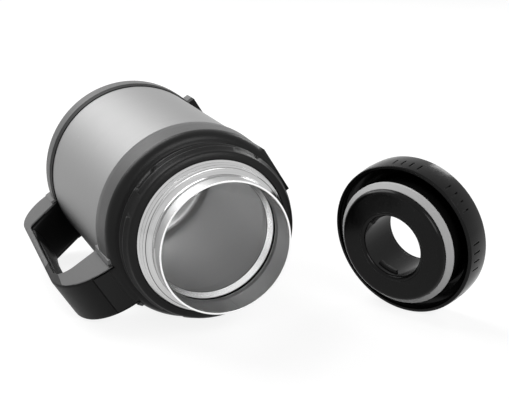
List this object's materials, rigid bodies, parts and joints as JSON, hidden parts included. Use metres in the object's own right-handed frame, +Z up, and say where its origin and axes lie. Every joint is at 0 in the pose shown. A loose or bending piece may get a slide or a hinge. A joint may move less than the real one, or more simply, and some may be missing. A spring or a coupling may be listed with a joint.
{
  "type": "insulated food jar",
  "caption": "Wide-mouthed double-wall steel food jar lying on its side, with a side handle, a threaded collar, a base cup and its round ring stopper standing beside it.",
  "frame": {"origin": "centre of the flat face of the jar's base", "axes": "+Y out of the base along the jar's axis, so the mouth faces -Y; +Z up; the jar lies on its collar, base cup and handle on a surface at z = -0.0521"},
  "size_m": [0.2083, 0.2037, 0.1042],
  "materials": {
    "brushed_body": "fine satin brushing round the body",
    "bright_neck": "bright, lightly polished",
    "vessel_steel": "satin, electropolished inside",
    "plain_steel": "mill finish",
    "getter_metal": "pressed powder in a metal cup",
    "foil": "bright foil",
    "grey_plastic": "fine moulded grain, low sheen",
    "soft_grip": "matt, soft to the touch",
    "black_rubber": "matt",
    "screw_steel": "plated",
    "black_plastic": "glossy",
    "pale_silicone": "smooth, slightly translucent",
    "foam": "fine foam"
  },
  "bodies": {
    "jar": {"outer_shell": "brushed_body", "shell_shoulder": "bright_neck", "shell_base_plate": "plain_steel", "vacuum_seal": "plain_steel", "getter": "getter_metal", "inner_vessel": "vessel_steel", "vessel_bottom": "vessel_steel", "heat_shield": "foil", "base_cup": "grey_plastic", "collar": "grey_plastic", "collar_seal": "black_rubber", "handle_shell": "grey_plastic", "handle_grip": "soft_grip", "handle_screws": "screw_steel"},
    "stopper": {"stopper_ring": "black_plastic", "stopper_cover": "black_plastic", "stopper_plug": "black_plastic", "hole_sleeve": "black_plastic", "stopper_gasket": "pale_silicone", "stopper_foam": "foam"}
  },
  "joints": [
    {"name": "stopper_lift", "type": "slide", "parent": "jar", "child": "stopper", "axis": [0, 0, 1], "range_m": [0, 0.06]}
  ]
}
